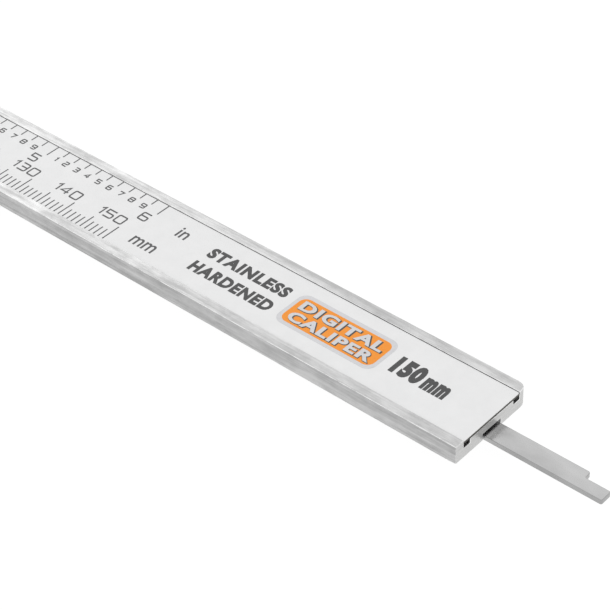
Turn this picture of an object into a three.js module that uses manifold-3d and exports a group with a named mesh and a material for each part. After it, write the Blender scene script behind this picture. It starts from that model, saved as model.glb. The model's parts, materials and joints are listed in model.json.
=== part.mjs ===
// A 150 mm digital caliper: a steel beam with the fixed jaws, and a slider that carries the
// moving jaws, the display, the depth rod, the thumb roller and the lock screw.
// Millimetres. x runs along the beam from the fixed measuring face, y across it towards the
// inside jaws, and z out of the display face, with z = 0 on the beam's back. The finished
// group is then shifted so that its origin is the centre of the underside of its box.
import * as THREE from "three";
import { mergeVertices } from "three/addons/utils/BufferGeometryUtils.js";
import Module from "manifold-3d";

const wasm = await Module();
wasm.setup();

// ---- Driving dimensions ---------------------------------------------------------------

const measuringRange = 150;
const opening = 19.5; // distance between the measuring faces as the caliper lies
const runGap = 0.15; // clearance between pieces that slide on each other
const stackGap = 0.1; // clearance between flat faces that are clamped together
const holeGap = 0.3; // clearance round a piece in its hole or pocket
const over = 1; // how far cutters reach past what they cut, and joined shapes into each other

// Beam
const beamWidth = 16;
const beamThickness = 3.25;
const beamOverrun = 9; // beam left past the slider at full range
const channelWidth = 12.5; // milled in the front for the scale
const channelDepth = 0.65;
const reliefWidth = 1.4; // deeper groove along each side of the channel
const reliefDepth = 1.45;
const rodGrooveWidth = 4;
const rodGrooveDepth = 1.3;
const beamCorner = 1.5; // radius of the back corner of the beam's end
const beamFrontCorner = 0.2; // its front corner is almost sharp
const beamHeadCorner = 2; // back corner at the fixed jaws
const stripMargin = 0.1; // strip and label to the channel's walls
const labelDrop = 0.15; // label's face below the rails
const labelThickness = 0.15;
const channelStart = 1.5; // first tick of the scale, just right of the fixed measuring face

// Jaws
const jawRoot = 15; // width of a jaw at the beam
const outsideJawLength = 40;
const outsideJawTip = 3.5;
const jawHeel = 6.4; // straight stretch of a jaw's back below the beam
const jawWaist = { drop: 18, width: 10.8 }; // where its back turns in towards the tip
const knifeLength = 18; // thinned stretch of an outside jaw
const knifeEdge = 0.9;
const knifeBevel = 3.6;
const insideJawLength = 16;
const insideJawRoot = 3.5;
const insideJawTip = 0.5;
const insideJawShoulder = 8;
const insideBevel = 1.5;
const insideBevelShare = 0.6; // of the thickness of an inside jaw

// Slider frame
const railWidth = 4.1; // top rail, outside the gib
const lowerRailWidth = 4.35;
const backWeb = 1.75;
const frontLip = 0.65;
const gibThickness = 0.6;
const gibEnd = 2.3; // rail left at each end of the gib
const readerWindow = { start: 7, end: 47, width: 12.8 };

// Depth rod
const rodWidth = 3.5;
const rodThickness = 0.85;
const rodProud = 0.05; // rod past the beam's back, inside the running gap
const rodTipLength = 4.15;
const rodTipStep = 1.3;
const rodHead = { start: 30, end: 50, depth: 1.6 };

// Back cover and end stop
const coverThickness = 0.8;
const coverInset = 3;
const coverWidth = 15;
const stopLength = 7;
const stopThickness = 0.8;

// Thumb roller
const rollerRadius = 5;
const rollerAxleRadius = 1.2;
const rollerRidges = 40;
const rollerSideGap = 0.8; // between the roller and the end of the lower rail
const rollerCover = 1.5; // frame past the roller
const rollerEdgeGap = 0.1; // roller to the beam's edge
const rollerHead = 0.6; // thickness of the axle's head
const earWall = 2.6; // metal round the roller axle

// Display housing
const housingStart = 1.5;
const housingSkirt = 2.5; // housing past the frame's lower edge
const wall = 1.4;
const frameSeal = 0.6; // least overlap of the housing's wall on the frame
const housingCorner = 2.5;
const lens = { start: 6.5, length: 39, bottom: -3.6, width: 11.2, lip: 0.9, lipThickness: 0.8 };
const panelThickness = 2.2;
const panelMargin = 0.9; // liquid-crystal panel past the window
const readerGap = 0.25; // from the reading head down to the beam's rails
const boardThickness = 0.8;
const zebraWidth = 1.2;
const postRadius = 1.9;
const postPlaces = [8, 47.5];
const postToRailEnd = 3.2; // from the last post's axis to the end of the lower rail

// Buttons
const buttonPlaces = [16, 28, 40];
const buttonY = -8.6;
const buttonLength = 7.2;
const buttonWidth = 4.2;
const buttonProud = 0.7;
const buttonLip = 0.7;
const buttonStem = 1.2;
const buttonTravel = 0.3;
const domeRadius = 2.4;
const domeHeight = 0.35;

// Battery
const cellRadius = 5.8;
const cellHeight = 5.4;
const doorThickness = 1.05;
const doorTongue = 0.8;
const endWall = 2; // housing past the battery pocket
const pocketFloor = 0.45;
const contactThickness = 0.25;

// Screws
const housingScrew = { shank: 0.8, head: 1.6, headHeight: 0.8, bite: 4.5 };
const coverScrew = { shank: 0.7, head: 1.3, headHeight: 0.6, bite: 1 };
const gibScrewRadius = 1;
const gibScrewPlaces = [15, 39];
const lockScrew = { place: 27, shank: 1.4, head: 3.2, headLength: 4.2, ridges: 24 };

// ---- Sizes that follow -----------------------------------------------------------------

const halfBeam = beamWidth / 2;
const lowerRailEnd = postPlaces[1] + postToRailEnd;
const rollerX = lowerRailEnd + rollerSideGap + rollerRadius;
const rollerY = -halfBeam - rollerEdgeGap - rollerRadius;
const frameLength = rollerX + rollerRadius + rollerCover;
const beamEnd = measuringRange + frameLength + beamOverrun;
const scaleLand = beamThickness - channelDepth; // floor of the scale channel
const jawTip = -halfBeam - outsideJawLength;
const insideTip = halfBeam + insideJawLength;
const jawShoulder = halfBeam + 5; // where an inside jaw leaves the body of its part
const jawHalf = beamThickness / 2 - runGap; // thickness of one inside jaw

const webFront = -runGap;
const webBack = webFront - backWeb;
const lipBack = beamThickness + runGap;
const lipFront = lipBack + frontLip;
const slotHalf = halfBeam + runGap; // half width of the slider's slot
const gibOuter = slotHalf + gibThickness;
const railInner = gibOuter + runGap;
const railOuter = railInner + railWidth;
const lowerOuter = -slotHalf - lowerRailWidth;
const railMiddle = (railInner + railOuter) / 2;
const lowerMiddle = -slotHalf - lowerRailWidth / 2;
const beamMiddle = beamThickness / 2;

const rodBack = -rodProud;
const rodEnd = beamEnd; // slider coordinates: flush with the beam when the jaws are closed
const coverFront = webBack - stackGap;
const coverBack = coverFront - coverThickness;

// Heights in the display unit: board, contact, cell and door stack up to the roof.
const housingTop = railOuter;
const housingBottom = lowerOuter - housingSkirt;
const housingFloor = lipFront + holeGap;
const boardBack = housingFloor + stackGap;
const boardFront = boardBack + boardThickness;
const contactBack = boardFront + stackGap;
const cellBack = contactBack + contactThickness + stackGap;
const cellFront = cellBack + cellHeight;
const doorBack = cellFront + stackGap + holeGap;
const roofOuter = doorBack + doorThickness;
const roofInner = roofOuter - wall;
const domeFront = boardFront + stackGap + domeHeight;
const buttonFoot = domeFront + buttonTravel + 0.05;
const lensEnd = lens.start + lens.length;
const panelFront = roofInner - lens.lipThickness - 2 * stackGap;
const panelBack = panelFront - panelThickness;
const bulkhead = postPlaces[1] + 0.7;
const cellX = bulkhead + wall + holeGap + cellRadius + 0.9;
const pocket = {
  start: bulkhead + wall,
  end: cellX + cellRadius + holeGap + 0.9,
  half: cellRadius + 1,
};
const housingEnd = pocket.end + endWall;
const doorHalf = pocket.half + 0.9;
const doorStart = pocket.start + 0.4;

// ---- Materials --------------------------------------------------------------------------

const finish = (color, roughness, metalness) =>
  new THREE.MeshStandardMaterial({ color, roughness, metalness });
const steel = finish(0xc8cacb, 0.35, 1);
const rodSteel = finish(0xb9bab8, 0.4, 1);
const screwSteel = finish(0x8f9294, 0.35, 1);
const bronze = finish(0xb08a4e, 0.45, 1);
const labelWhite = finish(0xe9eaea, 0.5, 0);
const laminate = finish(0x3b3a33, 0.7, 0);
const circuitGreen = finish(0x2c5a3c, 0.5, 0);
const housingPlastic = finish(0x2b2d30, 0.5, 0);
const buttonPlastic = finish(0xd9dadb, 0.45, 0);
const glass = finish(0x9aa5a0, 0.1, 0);
const chipBlack = finish(0x18191b, 0.6, 0);
const rubberGrey = finish(0x4a4b4d, 0.8, 0);

// ---- Shape helpers -----------------------------------------------------------------------

// A closed three.js geometry as a solid that can be joined and cut.
function solid(geometry) {
  geometry.deleteAttribute("normal");
  geometry.deleteAttribute("uv");
  const merged = mergeVertices(geometry, 1e-4);
  return new wasm.Manifold(
    new wasm.Mesh({
      numProp: 3,
      vertProperties: merged.attributes.position.array,
      triVerts: new Uint32Array(merged.index.array),
    }),
  );
}

const join = (first, ...others) => others.reduce((sum, other) => sum.add(other), first);
const cut = (first, ...others) => others.reduce((rest, other) => rest.subtract(other), first);

// A block between two opposite corners, given axis by axis.
function block([x0, x1], [y0, y1], [z0, z1]) {
  const geometry = new THREE.BoxGeometry(x1 - x0, y1 - y0, z1 - z0);
  geometry.translate((x0 + x1) / 2, (y0 + y1) / 2, (z0 + z1) / 2);
  return solid(geometry);
}

// A closed outline whose corners are [x, y] or, when rounded, [x, y, radius].
function outline(corners) {
  const shape = new THREE.Shape();
  corners.forEach(([x, y, radius = 0], i) => {
    const corner = new THREE.Vector2(x, y);
    const toNeighbour = (j) => {
      const [nx, ny] = corners[(j + corners.length) % corners.length];
      return new THREE.Vector2(nx - x, ny - y).normalize();
    };
    const before = toNeighbour(i - 1);
    const after = toNeighbour(i + 1);
    const half = Math.acos(THREE.MathUtils.clamp(before.dot(after), -1, 1)) / 2;
    const run = radius / Math.tan(half);
    const start = corner.clone().addScaledVector(before, run);
    const end = corner.clone().addScaledVector(after, run);
    if (i === 0) shape.moveTo(start.x, start.y);
    else shape.lineTo(start.x, start.y);
    if (radius > 0) shape.quadraticCurveTo(x, y, end.x, end.y);
  });
  return shape;
}

// An outline in the xy plane made into a plate from z0 to z1.
function plate(corners, [z0, z1]) {
  const shape = outline(corners);
  const options = { depth: z1 - z0, bevelEnabled: false, curveSegments: 5 };
  const geometry = new THREE.ExtrudeGeometry(shape, options);
  geometry.translate(0, 0, z0);
  return solid(geometry);
}

// A rectangular plate with rounded corners.
function roundedPlate([x0, x1], [y0, y1], radius, depth) {
  const corners = [
    [x0, y0, radius],
    [x1, y0, radius],
    [x1, y1, radius],
    [x0, y1, radius],
  ];
  return plate(corners, depth);
}

// A solid of revolution about z through (x, y), from [radius, z] pairs that rise.
function turned(x, y, profile, segments = 24) {
  const points = profile.map(([radius, z]) => new THREE.Vector2(radius, z));
  const geometry = new THREE.LatheGeometry(points, segments);
  geometry.rotateX(Math.PI / 2);
  geometry.translate(x, y, 0);
  return solid(geometry);
}

const cylinder = (x, y, radius, [z0, z1], segments = 24) =>
  turned(x, y, [[0, z0], [radius, z0], [radius, z1], [0, z1]], segments);

// Turns a solid made about z so that its axis runs along +y at the height z.
const alongY = (made, x, z) => made.rotate([-90, 0, 0]).translate([x, 0, z]);

// A ridged wheel about z: low and high points alternate round the rim.
function ridgedWheel(radius, depth, ridges, [z0, z1]) {
  const shape = new THREE.Shape();
  for (let i = 0; i < ridges * 4; i += 1) {
    const angle = (i / (ridges * 4)) * Math.PI * 2;
    const reach = i % 4 < 2 ? radius : radius - depth;
    const point = [reach * Math.cos(angle), reach * Math.sin(angle)];
    if (i === 0) shape.moveTo(...point);
    else shape.lineTo(...point);
  }
  const geometry = new THREE.ExtrudeGeometry(shape, { depth: z1 - z0, bevelEnabled: false });
  geometry.translate(0, 0, z0);
  return solid(geometry);
}

// Mirrors a solid in the plane x = 0.
const mirrored = (made) => made.mirror([1, 0, 0]);

// A named mesh with flat shading from a solid.
function piece(name, made, material) {
  const { vertProperties, triVerts } = made.getMesh();
  const indexed = new THREE.BufferGeometry();
  indexed.setAttribute("position", new THREE.BufferAttribute(vertProperties, 3));
  indexed.setIndex(new THREE.BufferAttribute(triVerts, 1));
  const geometry = indexed.toNonIndexed();
  geometry.computeVertexNormals();
  const mesh = new THREE.Mesh(geometry, material);
  mesh.name = name;
  return mesh;
}

// ---- Jaws ---------------------------------------------------------------------------------

// The outside jaw of the beam, left of its measuring face at x = 0.
function outsideJaw() {
  const top = -halfBeam + over; // inside the beam or rail it grows from
  const blade = plate(
    [
      [0, top],
      [-jawRoot, top],
      [-jawRoot, -halfBeam - jawHeel, 6],
      [-jawWaist.width, -halfBeam - jawWaist.drop, 14],
      [-outsideJawTip, jawTip, 0.8],
      [0, jawTip],
    ],
    [0, beamThickness],
  );
  const bevelDepth = (beamThickness - knifeEdge) / 2;
  const wedge = new THREE.Shape([
    new THREE.Vector2(over, -over),
    new THREE.Vector2(over, bevelDepth),
    new THREE.Vector2(0, bevelDepth),
    new THREE.Vector2(-knifeBevel, 0),
    new THREE.Vector2(-knifeBevel, -over),
  ]);
  const options = { depth: knifeLength + over, bevelEnabled: false };
  const geometry = new THREE.ExtrudeGeometry(wedge, options);
  geometry.rotateX(Math.PI / 2); // the wedge's depth now runs along -y and its height along z
  geometry.translate(0, jawTip + knifeLength, 0);
  const backWedge = solid(geometry);
  const frontWedge = backWedge.mirror([0, 0, 1]).translate([0, 0, beamThickness]);
  return cut(blade, backWedge, frontWedge);
}

// The inside jaw of the beam: the back half of the thickness, its knife edge facing -x.
function insideJaw(foot) {
  const blade = plate(
    [
      [-insideJawShoulder, foot],
      [insideJawRoot, foot],
      [insideJawRoot, jawShoulder],
      [insideJawTip, insideTip],
      [0, insideTip],
      [0, jawShoulder],
      [-insideJawShoulder, foot + over],
    ],
    [0, jawHalf],
  );
  const wedge = new THREE.Shape([
    new THREE.Vector2(-over, -over),
    new THREE.Vector2(insideBevel, -over),
    new THREE.Vector2(insideBevel, 0),
    new THREE.Vector2(0, jawHalf * insideBevelShare),
    new THREE.Vector2(-over, jawHalf * insideBevelShare),
  ]);
  const options = { depth: insideTip - jawShoulder + over, bevelEnabled: false };
  const geometry = new THREE.ExtrudeGeometry(wedge, options);
  geometry.rotateX(Math.PI / 2);
  geometry.translate(0, insideTip + over, 0);
  return cut(blade, solid(geometry));
}

// ---- Beam and what is fixed to it ----------------------------------------------------------

function beamBody() {
  const blade = plate(
    [
      [-jawRoot, -halfBeam],
      [beamEnd, -halfBeam, beamFrontCorner],
      [beamEnd, halfBeam, beamCorner],
      [-jawRoot, halfBeam, beamHeadCorner],
    ],
    [0, beamThickness],
  );
  const past = beamEnd + over;
  const channel = block(
    [channelStart, past],
    [-channelWidth / 2, channelWidth / 2],
    [scaleLand, beamThickness + over],
  );
  const reliefs = [-1, 1].map((side) => {
    const inner = side * (channelWidth / 2 - reliefWidth);
    const outer = (side * channelWidth) / 2;
    const floor = beamThickness - reliefDepth;
    const depth = [floor, beamThickness + over];
    return block([channelStart, past], [inner, outer].sort((a, b) => a - b), depth);
  });
  const rodGroove = block(
    [rodHead.start - 3, past],
    [-rodGrooveWidth / 2, rodGrooveWidth / 2],
    [-over, rodGrooveDepth],
  );
  const stopHoles = stopScrewPlaces.map(([x, y]) =>
    cylinder(x, y, coverScrew.shank + holeGap, [-over, coverScrew.bite + holeGap]),
  );
  const body = join(blade, outsideJaw(), insideJaw(halfBeam - over));
  return cut(body, channel, ...reliefs, rodGroove, ...stopHoles);
}

const stopEnd = beamEnd - 1.5;
const stopStart = stopEnd - stopLength;
const stopBack = -stackGap - stopThickness;
const stopScrewPlaces = [-1, 1].map((side) => [
  (stopStart + stopEnd) / 2,
  side * (rodGrooveWidth / 2 + 1.9),
]);

// Strip with the measuring pattern, in the channel, and the printed label over it.
const stripSide = channelWidth / 2 - stripMargin;
const labelFace = beamThickness - labelDrop;
const labelBack = labelFace - labelThickness;
const stripStart = channelStart + holeGap;
const scaleStrip = () =>
  block(
    [stripStart, beamEnd],
    [-stripSide, stripSide],
    [scaleLand + stackGap / 2, labelBack - stackGap / 2],
  );
const scaleLabel = () =>
  block([stripStart, beamEnd], [-stripSide, stripSide], [labelBack, labelFace]);

// A countersunk screw whose head's flat face is at z = back and whose shank rises from it.
function countersunk([x, y], back, size, length) {
  const made = turned(
    x,
    y,
    [
      [0, back],
      [size.head, back],
      [size.head, back + size.headHeight * 0.2],
      [size.shank, back + size.headHeight],
      [size.shank, back + length],
      [0, back + length],
    ],
    20,
  );
  const slotHalfWidth = size.head * 0.14;
  const slotReach = size.head * 0.6;
  const slotDepth = [back - over, back + size.headHeight * 0.6];
  const slots = [
    block([x - slotReach, x + slotReach], [y - slotHalfWidth, y + slotHalfWidth], slotDepth),
    block([x - slotHalfWidth, x + slotHalfWidth], [y - slotReach, y + slotReach], slotDepth),
  ];
  return cut(made, ...slots);
}

// The hole that such a screw goes through, clear of it all round.
function countersink([x, y], back, size, top) {
  const clear = holeGap / 2;
  return turned(x, y, [
    [0, back - over],
    [size.head + clear, back - over],
    [size.head + clear, back + size.headHeight * 0.2 + clear],
    [size.shank + clear, back + size.headHeight + clear],
    [size.shank + clear, top],
    [0, top],
  ]);
}

function endStop() {
  const side = stopScrewPlaces[1][1] + 2.2;
  const slab = roundedPlate([stopStart, stopEnd], [-side, side], 1, [stopBack, -stackGap]);
  const holes = stopScrewPlaces.map((place) => countersink(place, stopBack, coverScrew, 1));
  return cut(slab, ...holes);
}

// ---- Slider frame with the moving jaws ------------------------------------------------------

const coverRange = [coverInset, frameLength - coverInset];
const coverScrewPlaces = [coverRange[0] + 3, coverRange[1] - 3].flatMap((x) =>
  [-1, 1].map((side) => [x, side * (coverWidth / 2 - 2.2)]),
);
const rodScrewPlaces = [5, rodHead.end - rodHead.start - 5].map((x) => [rodHead.start + x, 0]);
const housingScrewPlaces = postPlaces.flatMap((x) => [
  [x, railMiddle],
  [x, lowerMiddle],
]);

function sliderFrame() {
  const fullDepth = [webBack, lipFront];
  const upperRail = block([insideJawRoot + holeGap, frameLength], [slotHalf, railOuter], fullDepth);
  const lowerRail = block([0, lowerRailEnd], [lowerOuter, -slotHalf], fullDepth);
  const backPlate = roundedPlate([0, frameLength], [lowerOuter, railOuter], 1, [webBack, webFront]);
  const frontPlate = block([2, frameLength], [lowerOuter, railOuter], [lipBack, lipFront]);
  const ear = plate(
    [
      [lowerRailEnd - 4, -halfBeam],
      [lowerRailEnd - 1, rollerY - rollerAxleRadius - earWall, 1.5],
      [frameLength - 1, rollerY - rollerAxleRadius - earWall, 2.5],
      [frameLength, -halfBeam],
    ],
    [webBack, webFront],
  );
  const outside = mirrored(outsideJaw());
  const inside = mirrored(insideJaw(slotHalf))
    .mirror([0, 0, 1])
    .translate([0, 0, beamThickness]);
  const body = join(upperRail, lowerRail, backPlate, frontPlate, ear, outside, inside);

  const half = readerWindow.width / 2;
  const cuts = [
    block([-40, frameLength + 1], [-slotHalf, slotHalf], [webFront, lipBack]), // beam slot
    block([readerWindow.start, readerWindow.end], [-half, half], [0, lipFront + 1]),
    block([lowerRailEnd, frameLength + 1], [lowerOuter - 1, -slotHalf], [webFront, lipFront + 1]),
    block(
      [insideJawRoot + holeGap + gibEnd, frameLength - gibEnd],
      [0, railInner],
      [webFront, lipBack],
    ),
    block([-20, insideJawRoot + holeGap], [slotHalf, insideTip], [-5, jawHalf + 2 * runGap]),
    block(
      [rodHead.start - holeGap, rodHead.end + holeGap],
      [-rodWidth / 2 - holeGap, rodWidth / 2 + holeGap],
      [webBack - 1, webFront + 1],
    ),
    cylinder(rollerX, rollerY, rollerAxleRadius + holeGap, [webBack - 1, 0]),
    ...housingScrewPlaces.map((place) =>
      countersink(place, webBack, housingScrew, lipFront + 1),
    ),
    ...coverScrewPlaces.map(([x, y]) =>
      cylinder(x, y, coverScrew.shank + holeGap / 2, [webBack - 1, 0]),
    ),
    ...gibScrewPlaces.map((x) =>
      alongY(cylinder(0, 0, gibScrewRadius + holeGap / 2, [0, railOuter + 1]), x, beamMiddle),
    ),
    alongY(
      cylinder(0, 0, lockScrew.shank + holeGap / 2, [0, railOuter + 1]),
      lockScrew.place,
      beamMiddle,
    ),
  ];
  return cut(body, ...cuts);
}

const gibStrip = () =>
  block(
    [insideJawRoot + gibEnd + 2 * holeGap, frameLength - gibEnd - holeGap],
    [slotHalf, gibOuter],
    [stackGap, beamThickness - stackGap],
  );

// A headless set screw in the top rail, pressing on the gib.
function gibScrew(x) {
  const end = railOuter - 0.4;
  const made = cylinder(0, 0, gibScrewRadius, [gibOuter + runGap, end], 16);
  const slot = block([-gibScrewRadius, gibScrewRadius], [-0.2, 0.2], [end - 0.7, end + 1]);
  return alongY(cut(made, slot), x, beamMiddle);
}

function lockScrewBody() {
  const { shank, head, headLength, ridges } = lockScrew;
  const foot = gibOuter + runGap;
  const under = railOuter + holeGap;
  const knob = ridgedWheel(head, 0.25, ridges, [under + 0.6, under + headLength]);
  const collar = cylinder(0, 0, head * 0.72, [under, under + 1]);
  const stem = cylinder(0, 0, shank, [foot, under + 1]);
  return alongY(join(knob, collar, stem), lockScrew.place, beamMiddle);
}

function backCover() {
  const half = coverWidth / 2;
  const slab = block(coverRange, [-half, half], [coverBack, coverFront]);
  const holes = [...coverScrewPlaces, ...rodScrewPlaces].map((place) =>
    countersink(place, coverBack, coverScrew, 1),
  );
  return cut(slab, ...holes);
}

// ---- Depth rod -------------------------------------------------------------------------------

function depthRod() {
  const half = rodWidth / 2;
  const shoulder = rodEnd - rodTipLength;
  const front = rodBack + rodThickness;
  const bar = plate(
    [
      [rodHead.start, -half, 0.4],
      [rodEnd, -half, 0.35],
      [rodEnd, half - rodTipStep, 0.35],
      [shoulder, half - rodTipStep, 0.25],
      [shoulder, half, 0.5],
      [rodHead.start, half, 0.4],
    ],
    [rodBack, front],
  );
  const headBack = front - rodThickness - rodHead.depth;
  const head = block([rodHead.start, rodHead.end], [-half, half], [headBack, front]);
  const holes = rodScrewPlaces.map(([x, y]) =>
    cylinder(x, y, coverScrew.shank + holeGap / 2, [headBack - 1, headBack + coverScrew.bite]),
  );
  return cut(join(bar, head), ...holes);
}

// ---- Thumb roller ----------------------------------------------------------------------------

function thumbRoller() {
  const depth = [runGap, beamThickness - runGap];
  const bore = cylinder(0, 0, rollerAxleRadius + holeGap, [-over, beamThickness + over]);
  const wheel = ridgedWheel(rollerRadius, 0.3, rollerRidges, depth);
  return cut(wheel, bore).translate([rollerX, rollerY, 0]);
}

const rollerAxle = () =>
  turned(rollerX, rollerY, [
    [0, webBack],
    [rollerAxleRadius, webBack],
    [rollerAxleRadius, beamThickness],
    [rollerAxleRadius * 2, beamThickness],
    [rollerAxleRadius * 2, beamThickness + rollerHead],
    [0, beamThickness + rollerHead],
  ]);

// ---- Display housing and what is in it ---------------------------------------------------------

// The bay for the electronics stays over the frame, so the frame closes it underneath.
const housingInner = {
  start: housingStart + wall,
  bottom: Math.max(housingBottom + wall, lowerOuter + frameSeal),
  top: Math.min(housingTop - wall, railOuter - frameSeal),
};
const lensSpan = [lens.start, lensEnd];
const lensReach = [lens.bottom, lens.bottom + lens.width];
const grown = ([low, high], by) => [low - by, high + by];

function displayHousing() {
  const depth = [housingFloor, roofOuter];
  const shell = roundedPlate(
    [housingStart, housingEnd],
    [housingBottom, housingTop],
    housingCorner,
    depth,
  );
  const electronicsBay = block(
    [housingInner.start, bulkhead],
    [housingInner.bottom, housingInner.top],
    [housingFloor - 1, roofInner],
  );
  const posts = housingScrewPlaces.map(([x, y]) => {
    const post = cylinder(x, y, postRadius, [housingFloor, roofInner + 0.2]);
    const side = y > 0 ? housingTop - wall / 2 : housingBottom + wall / 2;
    const web = block([x - 0.5, x + 0.5], [y, side].sort((a, b) => a - b), depth);
    return join(post, web);
  });
  const cuts = [
    ...housingScrewPlaces.map(([x, y]) =>
      cylinder(x, y, housingScrew.shank + holeGap / 2, [0, housingFloor + housingScrew.bite]),
    ),
    block(lensSpan, lensReach, [roofInner - 1, roofOuter + 1]),
    ...buttonPlaces.map((x) =>
      buttonBlock(x, holeGap, [roofInner - 1, roofOuter + 1]),
    ),
    block([pocket.start, pocket.end], [-pocket.half, pocket.half], [
      housingFloor + pocketFloor,
      roofOuter + 1,
    ]),
    block([doorStart, housingEnd + 1], grown([-doorHalf, doorHalf], runGap), [
      doorBack - runGap,
      roofOuter + 1,
    ]),
    block(
      [doorStart, housingEnd + 1],
      grown([-doorHalf - doorTongue, doorHalf + doorTongue], runGap),
      [doorBack - runGap, doorBack + doorThickness / 2 + runGap],
    ),
    ...contactSlots(),
  ];
  return cut(join(cut(shell, electronicsBay), ...posts), ...cuts);
}

// The two notches in the bulkhead that the battery contacts pass through.
function contactSlots() {
  const through = [bulkhead - 1, pocket.start + 1];
  return [
    block(through, grown(negativeTab.y, holeGap), [housingFloor - 1, negativeTab.z[1] + holeGap]),
    block(through, grown(positiveTab.y, holeGap), [housingFloor - 1, positiveTab.z[1] + holeGap]),
  ];
}

const negativeTab = { y: [-1.2, 1.2], z: [contactBack, contactBack + contactThickness] };
const positiveTab = {
  y: [cellRadius + stackGap * 2, cellRadius + stackGap * 2 + contactThickness],
  z: [contactBack, contactBack + 1.3],
};

const batteryContactNegative = () =>
  block([bulkhead - 3, cellX + cellRadius * 0.5], negativeTab.y, negativeTab.z);

function batteryContactPositive() {
  const tab = block([bulkhead - 3, cellX], positiveTab.y, positiveTab.z);
  const spring = block(
    [cellX - cellRadius * 0.55, cellX + cellRadius * 0.55],
    positiveTab.y,
    [positiveTab.z[0], cellFront - 0.8],
  );
  return join(tab, spring);
}

// A stepped window: its front fills the opening and its lip rests under the roof.
function displayWindow() {
  const back = roofInner - stackGap - lens.lipThickness;
  const front = block(grown(lensSpan, -holeGap), grown(lensReach, -holeGap), [
    back,
    roofOuter - 0.2,
  ]);
  const lip = block(grown(lensSpan, lens.lip), grown(lensReach, lens.lip), [
    back,
    roofInner - stackGap,
  ]);
  return join(front, lip);
}

const panelSpan = grown(lensSpan, panelMargin);
const panelReach = grown(lensReach, panelMargin);
const displayPanel = () => block(panelSpan, panelReach, [panelBack, panelFront]);

// Rubber connector strips between the board and the panel's two long edges.
function zebraStrip(side) {
  const edge = side < 0 ? panelReach[0] : panelReach[1] - zebraWidth;
  return block(
    grown(panelSpan, -1),
    [edge, edge + zebraWidth],
    [boardFront + stackGap, panelBack - stackGap],
  );
}

// The circuit board, with the reading head under it that reaches down to the scale.
function circuitBoard() {
  const board = block(
    [housingInner.start + holeGap, bulkhead - holeGap],
    [housingInner.bottom + holeGap, housingInner.top - holeGap],
    [boardBack, boardFront],
  );
  const head = block(
    grown([readerWindow.start, readerWindow.end], -holeGap),
    grown([-readerWindow.width / 2, readerWindow.width / 2], -holeGap),
    [beamThickness + readerGap, boardBack + 0.1],
  );
  const notches = housingScrewPlaces.map(([x, y]) => {
    const reach = postRadius + holeGap;
    const edge = Math.sign(y) * (Math.abs(y) + reach + 4);
    return join(
      cylinder(x, y, reach, [boardBack - 1, boardFront + 1]),
      block([x - reach, x + reach], [y, edge].sort((a, b) => a - b), [boardBack - 1, boardFront + 1]),
    );
  });
  return cut(join(board, head), ...notches);
}

const driverChip = () => {
  const middle = lens.start + lens.length / 2;
  const height = (lensReach[0] + lensReach[1]) / 2;
  const front = Math.min(boardFront + 1.1, panelBack - stackGap);
  const size = Math.min(4, (panelReach[1] - panelReach[0]) / 2 - zebraWidth - holeGap);
  return roundedPlate(grown([middle, middle], size), grown([height, height], size), 0.6, [
    boardFront + stackGap,
    front,
  ]);
};

const domeSwitch = (x) =>
  turned(x, buttonY, [
    [0, boardFront + stackGap],
    [domeRadius, boardFront + stackGap],
    [domeRadius * 0.6, domeFront - 0.05],
    [0, domeFront],
  ]);

// An upright block with the outline of a button, made larger all round by grow.
function buttonBlock(x, grow, depth) {
  const halfLength = buttonLength / 2 + grow;
  const halfWidth = buttonWidth / 2 + grow;
  const corner = Math.min(halfWidth * 0.7, buttonWidth * 0.4);
  return roundedPlate(
    [x - halfLength, x + halfLength],
    [buttonY - halfWidth, buttonY + halfWidth],
    corner,
    depth,
  );
}

function button(x) {
  const lipTop = roofInner - holeGap;
  const lipBottom = lipTop - buttonLip;
  const cap = buttonBlock(x, 0, [lipBottom, roofOuter + buttonProud]);
  const lip = buttonBlock(x, holeGap + buttonLip, [lipBottom, lipTop]);
  const stem = cylinder(x, buttonY, buttonStem, [buttonFoot, lipTop], 16);
  return join(cap, lip, stem);
}

const batteryCell = () =>
  turned(
    cellX,
    0,
    [
      [0, cellBack],
      [cellRadius - 1, cellBack],
      [cellRadius - 1, cellBack + 0.3],
      [cellRadius - 0.3, cellBack + 0.6],
      [cellRadius, cellBack + 1],
      [cellRadius, cellFront - 0.3],
      [cellRadius - 0.3, cellFront],
      [0, cellFront],
    ],
    40,
  );

// The battery door slides off towards +x, held by a tongue along each side.
function batteryDoor() {
  const span = [doorStart + holeGap, housingEnd];
  const top = block(span, [-doorHalf, doorHalf], [doorBack, roofOuter]);
  const reach = doorHalf + doorTongue;
  const tongues = block(span, [-reach, reach], [doorBack, doorBack + doorThickness / 2]);
  const grips = [0, 1, 2].map((i) => {
    const x = housingEnd - 3 - i * 1.4;
    return block([x, x + 0.6], [-3.2, 3.2], [roofOuter - 0.3, roofOuter + 1]);
  });
  return cut(join(top, tongues), ...grips);
}

// ---- Assembly ----------------------------------------------------------------------------------

const caliper = new THREE.Group();
const slider = new THREE.Group(); // everything that slides, placed by the opening of the jaws
slider.position.x = opening;
caliper.add(slider);

caliper.add(
  piece("beam", beamBody(), steel),
  piece("scale_strip", scaleStrip(), laminate),
  piece("scale_label", scaleLabel(), labelWhite),
  piece("end_stop", endStop(), steel),
);
stopScrewPlaces.forEach((place, i) => {
  const made = countersunk(place, stopBack, coverScrew, coverScrew.bite - stopBack);
  caliper.add(piece(`end_stop_screw_${i + 1}`, made, screwSteel));
});

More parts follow.
